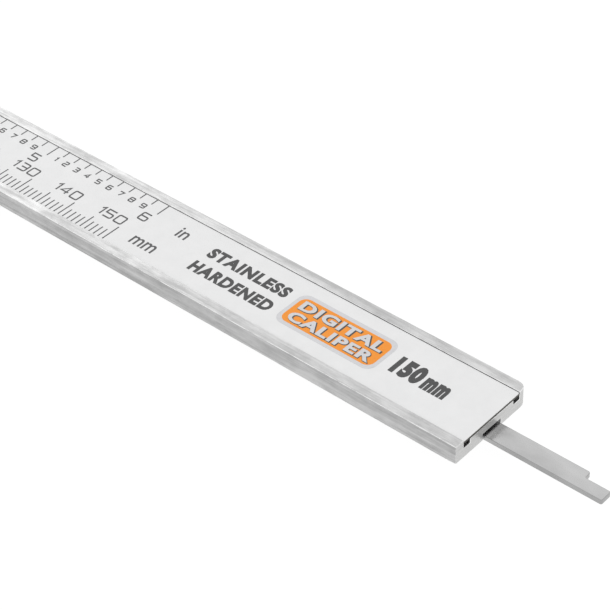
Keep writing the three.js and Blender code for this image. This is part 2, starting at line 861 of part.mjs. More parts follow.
slider.add(
  piece("slider_frame", sliderFrame(), steel),
  piece("gib_strip", gibStrip(), bronze),
  piece("lock_screw", lockScrewBody(), screwSteel),
  piece("back_cover", backCover(), steel),
  piece("depth_rod", depthRod(), rodSteel),
  piece("thumb_roller", thumbRoller(), screwSteel),
  piece("roller_axle", rollerAxle(), screwSteel),
  piece("display_housing", displayHousing(), housingPlastic),
  piece("display_window", displayWindow(), glass),
  piece("lcd_panel", displayPanel(), glass),
  piece("zebra_strip_1", zebraStrip(-1), rubberGrey),
  piece("zebra_strip_2", zebraStrip(1), rubberGrey),
  piece("circuit_board", circuitBoard(), circuitGreen),
  piece("driver_chip", driverChip(), chipBlack),
  piece("battery_cell", batteryCell(), screwSteel),
  piece("battery_contact_negative", batteryContactNegative(), bronze),
  piece("battery_contact_positive", batteryContactPositive(), bronze),
  piece("battery_door", batteryDoor(), housingPlastic),
);
gibScrewPlaces.forEach((x, i) => {
  slider.add(piece(`gib_screw_${i + 1}`, gibScrew(x), screwSteel));
});
coverScrewPlaces.forEach((place, i) => {
  const length = coverThickness + stackGap + coverScrew.bite;
  const made = countersunk(place, coverBack + 0.05, coverScrew, length);
  slider.add(piece(`cover_screw_${i + 1}`, made, screwSteel));
});
rodScrewPlaces.forEach((place, i) => {
  const length = coverThickness + stackGap + coverScrew.bite;
  const made = countersunk(place, coverBack + 0.05, coverScrew, length);
  slider.add(piece(`rod_screw_${i + 1}`, made, screwSteel));
});
housingScrewPlaces.forEach((place, i) => {
  const length = housingFloor - webBack + housingScrew.bite - holeGap;
  const made = countersunk(place, webBack + 0.05, housingScrew, length);
  slider.add(piece(`housing_screw_${i + 1}`, made, screwSteel));
});
["on_off", "zero", "units"].forEach((name, i) => {
  slider.add(
    piece(`button_${name}`, button(buttonPlaces[i]), buttonPlastic),
    piece(`dome_switch_${i + 1}`, domeSwitch(buttonPlaces[i]), bronze),
  );
});

// The origin is the centre of the underside of the whole caliper's box.
caliper.updateMatrixWorld(true);
const box = new THREE.Box3().setFromObject(caliper);
const middle = box.getCenter(new THREE.Vector3());
caliper.position.set(-middle.x, -middle.y, -box.min.z);

export default caliper;
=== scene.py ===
import json
import math

import bmesh
import bpy
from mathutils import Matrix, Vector
from mathutils.geometry import delaunay_2d_cdt

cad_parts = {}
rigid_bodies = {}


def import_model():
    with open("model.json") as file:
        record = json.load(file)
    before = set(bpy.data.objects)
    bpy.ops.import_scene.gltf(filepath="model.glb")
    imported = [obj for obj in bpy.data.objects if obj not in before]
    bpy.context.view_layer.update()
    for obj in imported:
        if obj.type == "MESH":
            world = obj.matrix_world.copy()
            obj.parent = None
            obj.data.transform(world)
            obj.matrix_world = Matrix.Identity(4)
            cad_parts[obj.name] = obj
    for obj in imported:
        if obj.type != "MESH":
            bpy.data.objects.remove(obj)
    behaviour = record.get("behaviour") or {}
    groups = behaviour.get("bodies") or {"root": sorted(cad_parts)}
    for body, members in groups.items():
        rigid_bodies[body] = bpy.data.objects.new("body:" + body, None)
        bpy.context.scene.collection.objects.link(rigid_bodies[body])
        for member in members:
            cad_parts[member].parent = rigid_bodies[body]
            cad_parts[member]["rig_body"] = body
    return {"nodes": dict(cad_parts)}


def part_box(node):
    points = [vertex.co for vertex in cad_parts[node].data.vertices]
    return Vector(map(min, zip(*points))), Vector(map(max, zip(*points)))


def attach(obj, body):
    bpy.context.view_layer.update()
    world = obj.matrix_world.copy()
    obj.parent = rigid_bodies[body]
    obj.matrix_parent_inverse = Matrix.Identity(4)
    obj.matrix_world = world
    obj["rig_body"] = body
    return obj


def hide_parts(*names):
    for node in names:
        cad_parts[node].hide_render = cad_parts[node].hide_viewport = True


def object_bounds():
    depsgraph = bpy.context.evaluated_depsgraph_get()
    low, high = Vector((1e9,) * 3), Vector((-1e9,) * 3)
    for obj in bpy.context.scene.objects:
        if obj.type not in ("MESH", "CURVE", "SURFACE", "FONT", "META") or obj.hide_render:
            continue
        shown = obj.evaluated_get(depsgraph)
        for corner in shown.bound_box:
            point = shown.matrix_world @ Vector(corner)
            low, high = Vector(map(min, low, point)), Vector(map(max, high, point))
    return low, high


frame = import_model()
cad_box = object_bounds()

MM = 0.001

# ---- Places, from the frame -------------------------------------------------------------
# Positions on the label are in millimetres from the zero tick of its scale (x) and from the
# beam's centreline (y), as they are printed; heights are above the label's face.

BEAM_LOW, BEAM_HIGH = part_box("beam")
LABEL_LOW, LABEL_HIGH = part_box("scale_label")
HOUSING_LOW, HOUSING_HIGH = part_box("display_housing")
PANEL_LOW, PANEL_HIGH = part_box("lcd_panel")
ZERO_TO_END = 220.65  # from the zero tick to the end of the beam
LABEL_END = 220.61  # from the zero tick to the end of the label
TOUCH = 1e-5  # metres within which a point counts as lying on a face
CENTRE_Y = (LABEL_LOW.y + LABEL_HIGH.y) / 2
LABEL_FACE = LABEL_HIGH.z


def on_label(x, y, z=0.0):
    """A point given in millimetres on the label, in the row frame."""
    return Vector((BEAM_HIGH.x - (ZERO_TO_END - x) * MM, CENTRE_Y + y * MM, LABEL_FACE + z * MM))


# ---- Materials ---------------------------------------------------------------------------

TOP_DARK, TOP_LIGHT = (0.50, 0.50, 0.50), (0.74, 0.74, 0.74)
# The beam's upright sides: the same ground steel in darker tones, a painted shade
PAINTED_SHADE_SIDE_DARK, PAINTED_SHADE_SIDE_LIGHT = (0.37, 0.37, 0.37), (0.545, 0.545, 0.545)


class Shader:
    """A material with a Principled shader, and short calls for the nodes that feed it."""

    def __init__(self, name, color, roughness, metallic=0.0, **sockets):
        self.material = bpy.data.materials.new(name)
        self.material.use_nodes = True
        self.tree = self.material.node_tree
        self.principled = self.tree.nodes["Principled BSDF"]
        self.coordinates = self.tree.nodes.new("ShaderNodeTexCoord")
        self.set("Base Color", (*color, 1.0))
        self.set("Roughness", roughness)
        self.set("Metallic", metallic)
        for socket, value in sockets.items():
            self.set(socket.replace("_", " "), value)

    def set(self, socket, value):
        self.principled.inputs[socket].default_value = value

    def link(self, output, node, socket):
        self.tree.links.new(output, node.inputs[socket])

    def noise(self, stretch=(1, 1, 1), scale=1000.0, detail=4.0, roughness=0.55):
        """Noise over the object's own metres; scale is in cells per metre."""
        mapping = self.tree.nodes.new("ShaderNodeMapping")
        mapping.inputs["Scale"].default_value = stretch
        self.link(self.coordinates.outputs["Object"], mapping, "Vector")
        node = self.tree.nodes.new("ShaderNodeTexNoise")
        node.inputs["Scale"].default_value = scale
        node.inputs["Detail"].default_value = detail
        node.inputs["Roughness"].default_value = roughness
        self.link(mapping.outputs["Vector"], node, "Vector")
        return node.outputs["Fac"]

    def spread(self, value, low, high, start=0.3, end=0.7):
        """Maps a noise value from start..end to low..high."""
        node = self.tree.nodes.new("ShaderNodeMapRange")
        node.inputs["From Min"].default_value = start
        node.inputs["From Max"].default_value = end
        node.inputs["To Min"].default_value = low
        node.inputs["To Max"].default_value = high
        self.link(value, node, "Value")
        return node.outputs["Result"]

    def blend(self, value, first, second):
        """A colour that goes from first to second as value goes from 0 to 1."""
        node = self.tree.nodes.new("ShaderNodeMix")
        node.data_type = "RGBA"
        node.inputs["A"].default_value = (*first, 1.0)
        node.inputs["B"].default_value = (*second, 1.0)
        self.link(value, node, "Factor")
        return node.outputs["Result"]

    def total(self, first, second):
        """The sum of two values."""
        node = self.tree.nodes.new("ShaderNodeMath")
        self.tree.links.new(first, node.inputs[0])
        self.tree.links.new(second, node.inputs[1])
        return node.outputs["Value"]

    def mean(self, first, second):
        """Half the sum of two values."""
        node = self.tree.nodes.new("ShaderNodeMix")
        node.inputs["Factor"].default_value = 0.5
        self.link(first, node, "A")
        self.link(second, node, "B")
        return node.outputs["Result"]

    def bump(self, height, distance):
        """Relief from a noise value; distance is its depth in metres."""
        node = self.tree.nodes.new("ShaderNodeBump")
        node.inputs["Distance"].default_value = distance
        self.link(height, node, "Height")
        self.link(node.outputs["Normal"], self.principled, "Normal")

    def feed(self, socket, output):
        self.link(output, self.principled, socket)

    def tint(self, value, dark, light, start=0.3, end=0.7):
        """Base colour that goes from dark to light as value goes from start to end."""
        self.feed("Base Color", self.blend(self.spread(value, 0, 1, start, end), dark, light))

    def gloss(self, value, low, high, start=0.3, end=0.7):
        """Roughness that goes from low to high as value goes from start to end."""
        self.feed("Roughness", self.spread(value, low, high, start, end))


def ground_steel(name, dark, light):
    """Steel ground along the beam: broad streaks, fine lines and softer patches."""
    shader = Shader(name, dark, 0.34, 1.0)
    streaks = shader.noise(stretch=(0.03, 1, 1), scale=1900, detail=5, roughness=0.65)
    lines = shader.noise(stretch=(0.012, 1, 1), scale=5200, detail=2, roughness=0.5)
    patches = shader.noise(stretch=(0.4, 1, 1), scale=360, detail=5, roughness=0.7)
    shader.tint(shader.mean(streaks, patches), dark, light, 0.42, 0.60)
    shader.feed("Roughness", shader.total(shader.spread(lines, -0.03, 0.05),
                                          shader.spread(patches, 0.42, 0.30)))
    shader.bump(shader.total(streaks, lines), 4e-6)
    return shader.material


def bright_edge():
    """The broken edges of ground steel, painted lighter than the faces as a highlight, and nicked
    here and there.
    """
    shader = Shader("bright_edge", TOP_LIGHT, 0.22, 1.0)
    nicks_and_highlight = shader.noise(stretch=(0.35, 1, 1), scale=1300, detail=6, roughness=0.7)
    # painted highlight: lighter than the faces' steel, varied by the nicks
    shader.tint(nicks_and_highlight, (0.55, 0.55, 0.55), (0.92, 0.92, 0.92), 0.36, 0.56)
    shader.gloss(nicks_and_highlight, 0.38, 0.18, 0.35, 0.65)
    shader.bump(nicks_and_highlight, 12e-6)
    return shader.material


def cut_steel():
    """Milled ends, with fine lines across the beam."""
    shader = Shader("cut_steel", TOP_LIGHT, 0.32, 1.0)
    lines = shader.noise(stretch=(1, 0.08, 1), scale=3200, detail=4, roughness=0.6)
    shader.tint(lines, (0.50, 0.50, 0.495), (0.62, 0.62, 0.615))
    shader.gloss(lines, 0.28, 0.42)
    shader.bump(lines, 5e-6)
    return shader.material


def tumbled_steel(name, dark, light):
    """Thin bar with a fine, even tumbled grain."""
    shader = Shader(name, dark, 0.30, 1.0)
    grain = shader.noise(scale=4200, detail=6, roughness=0.65)
    patches = shader.noise(stretch=(0.5, 1, 1), scale=210, detail=4)
    shader.tint(patches, dark, light)
    shader.gloss(patches, 0.34, 0.20)
    shader.bump(grain, 4e-6)
    return shader.material


def turned_steel():
    """Small bright turned parts: screws, axle, roller."""
    shader = Shader("turned_steel", (0.50, 0.505, 0.51), 0.28, 1.0)
    grain = shader.noise(scale=2600, detail=5, roughness=0.6)
    shader.gloss(grain, 0.22, 0.38)
    shader.tint(grain, (0.44, 0.445, 0.45), (0.56, 0.565, 0.57))
    shader.bump(grain, 4e-6)
    return shader.material


def rolled_sheet():
    """The thin cover plates: rolled stainless with faint lengthwise lines."""
    shader = Shader("rolled_sheet", (0.56, 0.56, 0.56), 0.33, 1.0)
    lines = shader.noise(stretch=(0.03, 1, 1), scale=3800, detail=5, roughness=0.65)
    shader.gloss(lines, 0.26, 0.42)
    shader.tint(lines, (0.52, 0.52, 0.52), (0.61, 0.61, 0.61))
    shader.bump(lines, 5e-6)
    return shader.material


def bronze():
    """Satin phosphor bronze: contacts, domes and the gib strip."""
    shader = Shader("bronze", (0.55, 0.36, 0.16), 0.38, 1.0)
    patches = shader.noise(scale=700, detail=5)
    shader.tint(patches, (0.48, 0.30, 0.13), (0.62, 0.42, 0.20))
    shader.gloss(patches, 0.32, 0.48)
    return shader.material


def nickel():
    """The button cell's polished plating."""
    shader = Shader("nickel", (0.72, 0.72, 0.71), 0.18, 1.0)
    patches = shader.noise(scale=900, detail=5)
    shader.gloss(patches, 0.12, 0.26)
    return shader.material


def label_white():
    """White film with a satin laminate that ripples very slightly."""
    shader = Shader("label_white", (0.77, 0.77, 0.772), 0.45, Specular_IOR_Level=0.3)
    ripple = shader.noise(scale=420, detail=3)
    specks = shader.noise(scale=2600, detail=3)
    shader.tint(ripple, (0.775, 0.776, 0.778), (0.805, 0.805, 0.807))
    shader.gloss(specks, 0.36, 0.48)
    shader.bump(ripple, 6e-6)
    return shader.material


def plastic(name, dark, light, roughness, grain_scale, grain_height):
    """Moulded plastic: a fine spark-eroded grain and a slight drift in tone."""
    shader = Shader(name, dark, roughness)
    grain = shader.noise(scale=grain_scale, detail=4, roughness=0.6)
    drift = shader.noise(scale=120, detail=3)
    shader.tint(drift, dark, light)
    shader.gloss(grain, roughness - 0.06, roughness + 0.08)
    shader.bump(grain, grain_height)
    return shader.material


def ink(name, dark, light):
    """Printing ink, slightly uneven in density."""
    shader = Shader(name, dark, 0.5)
    density = shader.noise(scale=3000, detail=4)
    shader.tint(density, dark, light)
    shader.gloss(density, 0.44, 0.58)
    return shader.material


def clear_acrylic():
    """The display's window."""
    shader = Shader("clear_acrylic", (0.97, 0.98, 0.98), 0.04, IOR=1.49,
                    Transmission_Weight=1.0)
    haze = shader.noise(scale=500, detail=4)
    shader.gloss(haze, 0.02, 0.07)
    return shader.material


MATERIALS = {
    "ground_steel": ground_steel("ground_steel", TOP_DARK, TOP_LIGHT),
    # painted shade: the beam's sides in darker ground steel
    "painted_shade_side": ground_steel("painted_shade_side", PAINTED_SHADE_SIDE_DARK, PAINTED_SHADE_SIDE_LIGHT),
    # painted highlight for the broken edges
    "bright_edge": bright_edge(),
    "cut_steel": cut_steel(),
    "tumbled_steel": tumbled_steel("tumbled_steel", (0.50, 0.50, 0.50), (0.64, 0.64, 0.64)),
    # painted shade: the rod's sides in darker tumbled steel
    "painted_shade_rod_side": tumbled_steel("painted_shade_rod_side", (0.35, 0.35, 0.35), (0.44, 0.44, 0.44)),
    "turned_steel": turned_steel(),
    "rolled_sheet": rolled_sheet(),
    "bronze": bronze(),
    "nickel": nickel(),
    "label_white": label_white(),
    "scale_ink": ink("scale_ink", (0.070, 0.070, 0.072), (0.095, 0.095, 0.098)),
    "word_ink": ink("word_ink", (0.048, 0.048, 0.049), (0.070, 0.070, 0.071)),
    "badge_grey": ink("badge_grey", (0.60, 0.60, 0.615), (0.66, 0.66, 0.675)),
    "badge_orange": ink("badge_orange", (0.85, 0.270, 0.012), (0.90, 0.305, 0.018)),
    "laminate": plastic("laminate", (0.055, 0.053, 0.045), (0.10, 0.096, 0.084), 0.6, 5000, 1e-5),
    "housing_plastic": plastic("housing_plastic", (0.018, 0.019, 0.021), (0.026, 0.027, 0.030),
                               0.46, 4200, 9e-6),
    "button_grey": plastic("button_grey", (0.56, 0.57, 0.585), (0.62, 0.63, 0.64),
                           0.40, 5000, 4e-6),
    "button_orange": plastic("button_orange", (0.80, 0.22, 0.03), (0.86, 0.27, 0.04),
                             0.40, 5000, 4e-6),
    "circuit_green": plastic("circuit_green", (0.010, 0.075, 0.030), (0.018, 0.11, 0.045),
                             0.34, 2500, 5e-6),
    "chip_black": plastic("chip_black", (0.008, 0.008, 0.009), (0.014, 0.014, 0.015),
                          0.5, 4200, 5e-6),
    "soft_rubber": plastic("soft_rubber", (0.035, 0.035, 0.037), (0.055, 0.055, 0.058),
                           0.7, 3500, 8e-6),
    "lcd_glass": plastic("lcd_glass", (0.34, 0.38, 0.31), (0.37, 0.41, 0.34), 0.22, 900, 1e-6),
    "lcd_ink": ink("lcd_ink", (0.012, 0.014, 0.012), (0.02, 0.022, 0.02)),
    "panel_print": ink("panel_print", (0.62, 0.63, 0.64), (0.70, 0.71, 0.72)),
    "acrylic": clear_acrylic(),
}


# ---- CAD nodes with finished edges ---------------------------------------------------------

SAME_POINT = 1e-6  # metres within which two corners are one
FLAT_ANGLE = math.radians(0.5)  # faces that meet at less than this are one face
BROKEN_ANGLE = math.radians(35)  # edges that turn by this or more are broken
SHARP_ANGLE = math.radians(40)  # edges that turn by more than this are shaded sharp


def merged_copy(node):
    """The CAD node's mesh as an editable copy with its flat faces joined up."""
    mesh = bmesh.new()
    mesh.from_mesh(frame["nodes"][node].data)
    bmesh.ops.remove_doubles(mesh, verts=mesh.verts, dist=SAME_POINT)
    bmesh.ops.dissolve_limit(mesh, angle_limit=FLAT_ANGLE, verts=mesh.verts, edges=mesh.edges)
    return mesh


def edges_to_break(mesh, where):
    """Edges that turn enough, or those of them that where accepts."""
    return [edge for edge in mesh.edges
            if len(edge.link_faces) == 2 and edge.calc_face_angle(0) >= BROKEN_ANGLE
            and (where is None or where(edge))]


def to_object(name, mesh, materials):
    """A bmesh in the row frame as a finished object in the scene."""
    data = bpy.data.meshes.new(name)
    for material in materials:
        data.materials.append(MATERIALS[material])
    mesh.normal_update()
    for face in mesh.faces:
        face.smooth = True
    for edge in mesh.edges:
        if len(edge.link_faces) == 2 and edge.calc_face_angle(0) > SHARP_ANGLE:
            edge.smooth = False
    mesh.to_mesh(data)
    mesh.free()
    made = bpy.data.objects.new(name, data)
    bpy.context.scene.collection.objects.link(made)
    return made


def finished(node, materials, rules, facing=None):
    """Stands for a CAD node with its edges broken. Each rule is (where, width in mm, segments).

    The last material goes on the broken edges, and facing gives a flat face's by its normal.
    """
    mesh = merged_copy(node)
    if facing:
        mesh.normal_update()
        for face in mesh.faces:
            face.material_index = facing(face.normal)
    for where, width, segments in rules:
        bmesh.ops.bevel(mesh, geom=edges_to_break(mesh, where), offset=width * MM,
                        offset_type="OFFSET", segments=segments, profile=0.5, affect="EDGES",
                        clamp_overlap=False, material=len(materials) - 1)
    made = to_object(f"{node}_finished", mesh, materials)
    weighted = made.modifiers.new("weighted_normals", "WEIGHTED_NORMAL")
    weighted.keep_sharp = True
    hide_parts(node)
    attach(made, frame["nodes"][node]["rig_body"])


RIM_REACH = 2.8 * MM  # the housing's round corners lie within this of its sides
DOOR_HALF = 8.5 * MM  # half the width of the battery door's opening
FOOT_REACH = 2 * MM  # the beam's round corners lie within this of its end


def on_roof_rim(edge):
    """The edges round the outside of the housing's roof, apart from the door's end."""
    for vertex in edge.verts:
        inside = (HOUSING_LOW.x + RIM_REACH < vertex.co.x < HOUSING_HIGH.x - RIM_REACH
                  and HOUSING_LOW.y + RIM_REACH < vertex.co.y < HOUSING_HIGH.y - RIM_REACH)
        if inside or vertex.co.z < HOUSING_HIGH.z - TOUCH:
            return False
    middle = (edge.verts[0].co + edge.verts[1].co) / 2
    return not (middle.x > HOUSING_HIGH.x - TOUCH and abs(middle.y - CENTRE_Y) < DOOR_HALF)


def off_roof_rim(edge):
    """All the housing's other edges."""
    return not on_roof_rim(edge)


def on_end_foot(edge):
    """The lower edges of the beam's end."""
    return all(vertex.co.x > BEAM_HIGH.x - FOOT_REACH and vertex.co.z < BEAM_LOW.z + TOUCH
               for vertex in edge.verts)


def off_end_foot(edge):
    """All the beam's other edges."""
    return not on_end_foot(edge)


# STEEL's third material paints shade on the sides, and its last paints a highlight on the broken
# edges.
STEEL = ["ground_steel", "cut_steel", "painted_shade_side", "bright_edge"]
# ROD's second material paints shade on the rod's sides.
ROD = ["tumbled_steel", "painted_shade_rod_side"]
SQUARE_FROM = 0.9  # a normal's share along an axis from which a face is square to it
LEVEL_FROM = 0.5  # a normal's share along z from which a face of the rod is level


def steel_face(normal):
    """The place in STEEL for a face: cut on the ends, painted shade on the sides, else ground."""
    if abs(normal.x) > SQUARE_FROM:
        return 1
    return 2 if abs(normal.y) > SQUARE_FROM else 0


def rod_face(normal):
    """The place in ROD for a face: painted shade all round its sides."""
    return 1 if abs(normal.z) < LEVEL_FROM else 0


def finish_nodes():
    """Every steel and plastic piece that shows, with edges as wide as the real ones."""
    finished("beam", STEEL, [(on_end_foot, 0.18, 3), (off_end_foot, 0.07, 2)],
             facing=steel_face)
    finished("slider_frame", STEEL, [(None, 0.09, 2)], facing=steel_face)
    finished("depth_rod", ROD, [(None, 0.1, 3)], facing=rod_face)
    # The cover plates' broken edges carry a painted highlight.
    finished("back_cover", ["rolled_sheet", "bright_edge"], [(None, 0.08, 2)])
    finished("end_stop", ["rolled_sheet", "bright_edge"], [(None, 0.08, 2)])
    finished("display_housing", ["housing_plastic"],
             [(on_roof_rim, 0.6, 5), (off_roof_rim, 0.12, 2)])
    finished("battery_door", ["housing_plastic"], [(None, 0.1, 2)])
    finished("display_window", ["acrylic"], [(None, 0.15, 2)])
    for name in ("thumb_roller", "roller_axle", "lock_screw"):
        finished(name, ["turned_steel"], [(None, 0.07, 2)])
    for name in ("on_off", "zero", "units"):
        color = "button_orange" if name == "zero" else "button_grey"
        finished(f"button_{name}", [color], [(None, 0.3, 3)])
    for node in frame["nodes"]:
        if "_screw_" in node:
            finished(node, ["turned_steel"], [(None, 0.04, 1)])


# Nodes that are mostly inside, and keep their CAD meshes.
INNER = {
    "scale_strip": "laminate", "gib_strip": "bronze", "lcd_panel": "lcd_glass",
    "zebra_strip_1": "soft_rubber", "zebra_strip_2": "soft_rubber",
    "circuit_board": "circuit_green", "driver_chip": "chip_black", "battery_cell": "nickel",
    "battery_contact_negative": "bronze", "battery_contact_positive": "bronze",
    "dome_switch_1": "bronze", "dome_switch_2": "bronze", "dome_switch_3": "bronze",
}


def paint_inner_nodes():
    """Gives the nodes that keep their CAD meshes their materials."""
    for node, material in INNER.items():
        for place in frame["nodes"][node].material_slots:
            place.material = MATERIALS[material]


# ---- Printing ------------------------------------------------------------------------------

# Strokes of squared numerals in a unit box; closed strokes repeat their first point.
DIGITS = {
    "0": [[(0, 0), (1, 0), (1, 1), (0, 1), (0, 0)]],
    "1": [[(0, 0.76), (1, 1), (1, 0)]],
    "2": [[(0, 1), (1, 1), (1, 0.5), (0, 0.5), (0, 0), (1, 0)]],
    "3": [[(0, 1), (1, 1), (1, 0), (0, 0)], [(0.2, 0.5), (1, 0.5)]],
    "4": [[(0.74, 0), (0.74, 1), (0, 0.3), (1, 0.3)]],
    "5": [[(1, 1), (0, 1), (0, 0.47)], [(0, 0.54), (1, 0.54), (1, 0), (0, 0)]],
    "6": [[(1, 1), (0, 1), (0, 0), (1, 0), (1, 0.54), (0, 0.54)]],
    "7": [[(0, 1), (1, 1), (0.42, 0)]],
    "8": [[(0, 0), (1, 0), (1, 1), (0, 1), (0, 0)], [(0, 0.52), (1, 0.52)]],
    "9": [[(0, 0), (1, 0), (1, 1), (0, 1), (0, 0.46), (1, 0.46)]],
}
CORNER_SHARE = 0.15  # radius of the numerals' corners, as a share of their height
CORNER_STEPS = 4
LETTER_STEPS = 4  # segments of each curve of a letter
MITRE_LIMIT = 2  # how far a stroke's corner may stretch, in half widths
ONE_WIDTH = 0.45  # a "1" is this share of the other numerals' width
INK_FOOT, INK_FACE = -0.01, 0.012  # the ink's own thickness, from just inside the label
INSIDE_CONSTRAINTS = 1  # the triangulation's output type
MERGE_WITHIN = 1e-4  # mm within which printed corners are one
SLIVER = 1e-6  # mm2, the area under which a printed shape is left out


def rounded(points, radius):
    """The polyline with its corners turned by arcs, and whether it is closed."""
    closed = points[0] == points[-1]
    path = [Vector(p) for p in points]
    made = []
    count = len(path) - 1 if closed else len(path)
    for i in range(count):
        here = path[i]
        if radius == 0 or not closed and i in (0, count - 1):
            made.append(here)
            continue
        before, after = path[(i - 1) % count], path[(i + 1) % count]
        reach = min(radius, (before - here).length / 2, (after - here).length / 2)
        start = here + (before - here).normalized() * reach
        end = here + (after - here).normalized() * reach
        for k in range(CORNER_STEPS + 1):
            t = k / CORNER_STEPS
            made.append(start.lerp(here, t).lerp(here.lerp(end, t), t))
    if closed:
        made.append(made[0].copy())
    return made, closed


class Print:
    """Flat printed shapes in millimetres on a plane, gathered into one thin solid mesh."""

    def __init__(self):
        self.points = []
        self.shapes = []

    def outline(self, shape):
        """The shape's sides, as pairs of points."""
        points = [self.points[i] for i in shape]
        return list(zip(points, points[1:] + points[:1]))

    def add(self, shape):
        """Keeps a convex shape, given as indices of its corners, and turns it anticlockwise."""
        area = sum(a.cross(b) for a, b in self.outline(shape)) / 2
        if abs(area) > SLIVER:
            self.shapes.append(shape if area > 0 else shape[::-1])

    def holds(self, shape, point):
        """Whether a point lies in a shape."""
        return all((b - a).cross(point - a) >= 0 for a, b in self.outline(shape))

    def polygon(self, points):
        """A convex shape, given by its corners."""
        start = len(self.points)
        self.points += [Vector((x, y)) for x, y in points]
        self.add(list(range(start, len(self.points))))

    def bar(self, x0, x1, y0, y1):
        """An upright rectangle."""
        self.polygon([(x0, y0), (x1, y0), (x1, y1), (x0, y1)])

    def ribbon(self, points, width, radius):
        """A stroke of constant width along a polyline with rounded corners."""
        path, closed = rounded(points, radius)
        sides = []
        last = len(path) - 1
        for i, here in enumerate(path):
            before = path[i - 1] if i > 0 else (path[last - 1] if closed else here)
            after = path[i + 1] if i < last else (path[1] if closed else here)
            into, out = (here - before).normalized(), (after - here).normalized()
            along = (into + out).normalized()
            across = Vector((-along.y, along.x))
            stretch = 1 / max(1 / MITRE_LIMIT, along.dot(into), along.dot(out))
            reach = across * (width / 2 * stretch)
            sides.append((here + reach, here - reach))
        for (a, b), (c, d) in zip(sides, sides[1:]):
            self.polygon([a, b, d, c])

    def number(self, text, right, y0, height, width, stroke, gap):
        """A number in squared numerals whose right edge is at right."""
        x = right
        for digit in reversed(text):
            wide = width * (ONE_WIDTH if digit == "1" else 1)
            left = x - wide
            for points in DIGITS[digit]:
                inner = [(left + stroke / 2 + px * (wide - stroke),
                          y0 + stroke / 2 + py * (height - stroke)) for px, py in points]
                # straight-lined numerals and the top of the 5 keep sharp corners
                square = digit in "147" or len(points) == 3
                self.ribbon(inner, stroke, 0 if square else height * CORNER_SHARE)
            x = left - gap

    def words(self, text, x0, x1, y0, y1, bolder, spacing=1.0):
        """Lettering fitted to a box; bolder is the extra weight, as a share of the type size."""
        curve = bpy.data.curves.new("words", "FONT")
        curve.body = text
        curve.offset = bolder
        curve.space_character = spacing
        curve.resolution_u = LETTER_STEPS
        source = bpy.data.objects.new("words", curve)
        bpy.context.scene.collection.objects.link(source)
        bpy.context.view_layer.update()
        flat = bpy.data.meshes.new_from_object(
            source.evaluated_get(bpy.context.evaluated_depsgraph_get()))
        low = [min(v.co[i] for v in flat.vertices) for i in (0, 1)]
        high = [max(v.co[i] for v in flat.vertices) for i in (0, 1)]
        scale = ((x1 - x0) / (high[0] - low[0]), (y1 - y0) / (high[1] - low[1]))
        start = len(self.points)
        self.points += [Vector((x0 + (vertex.co.x - low[0]) * scale[0],
                                y0 + (vertex.co.y - low[1]) * scale[1]))
                        for vertex in flat.vertices]
        for face in flat.polygons:
            self.add([start + i for i in face.vertices])
        bpy.data.objects.remove(source)
        bpy.data.curves.remove(curve)
        bpy.data.meshes.remove(flat)

    def rounded_box(self, x0, x1, y0, y1, radius, steps=8):
        """A filled rectangle with round corners of that many segments."""
        corners = [(x1 - radius, y1 - radius, 0), (x0 + radius, y1 - radius, 90),
                   (x0 + radius, y0 + radius, 180), (x1 - radius, y0 + radius, 270)]
        points = []
        for cx, cy, start in corners:
            for k in range(steps + 1):
                turn = math.radians(start + 90 * k / steps)
                points.append((cx + radius * math.cos(turn), cy + radius * math.sin(turn)))
        self.polygon(points)

    def joined(self):
        """The shapes as one flat mesh, with each place that several cover covered once."""
        points, _, faces, _, _, covered = delaunay_2d_cdt(
            self.points, [], self.shapes, INSIDE_CONSTRAINTS, MERGE_WITHIN)
        mesh = bmesh.new()
        corners = [mesh.verts.new((*point, 0)) for point in points]
        for face, shapes in zip(faces, covered):
            middle = sum((points[i] for i in face), Vector((0, 0))) / len(face)
            if any(self.holds(self.shapes[i], middle) for i in shapes):
                mesh.faces.new([corners[i] for i in face])
        bmesh.ops.delete(mesh, geom=[v for v in mesh.verts if not v.link_faces], context="VERTS")
        return mesh

    def piece(self, name, material, body, place, foot=INK_FOOT, face=INK_FACE):
        """Gives the shapes their thickness and puts them on the plane that place maps mm to."""
        mesh = self.joined()
        top = bmesh.ops.extrude_face_region(mesh, geom=mesh.faces[:], use_keep_orig=True)
        raised = {v for v in top["geom"] if isinstance(v, bmesh.types.BMVert)}
        for vertex in mesh.verts:
            height = face if vertex in raised else foot
            vertex.co = place(vertex.co.x, vertex.co.y, height)
        bmesh.ops.recalc_face_normals(mesh, faces=mesh.faces)
        made = to_object(name, mesh, [material])
        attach(made, body)
        return made


# The scales as they are printed, in mm; y is from the beam's centreline, and the ends of the
# ticks are listed by the largest count of divisions that the tick marks.
MM_MARKS, TENTH_MARKS = 150, 60
MM_TICK_FOOT = -6.15
MM_TICK_TOPS = {10: -2.5, 5: -3.1, 1: -4.02}
TENTH = 2.54
TENTH_TICK_TOP = 6.15
TENTH_TICK_FEET = {10: 3.5, 1: 4.75}
TICK_WIDTH = 0.22
NUMBER_LEAD = 0.2  # from a number's right edge to its tick
# For each kind of number: its foot, height, width of a digit, stroke and gap between digits.
MM_NUMBER = (-2.1, 2.06, 1.9, 0.29, 0.43)
TENTH_NUMBER = (3.06, 1.25, 1.1, 0.24, 0.2)
INCH_NUMBER = (0.79, 2.06, 1.83, 0.29, 0.4)

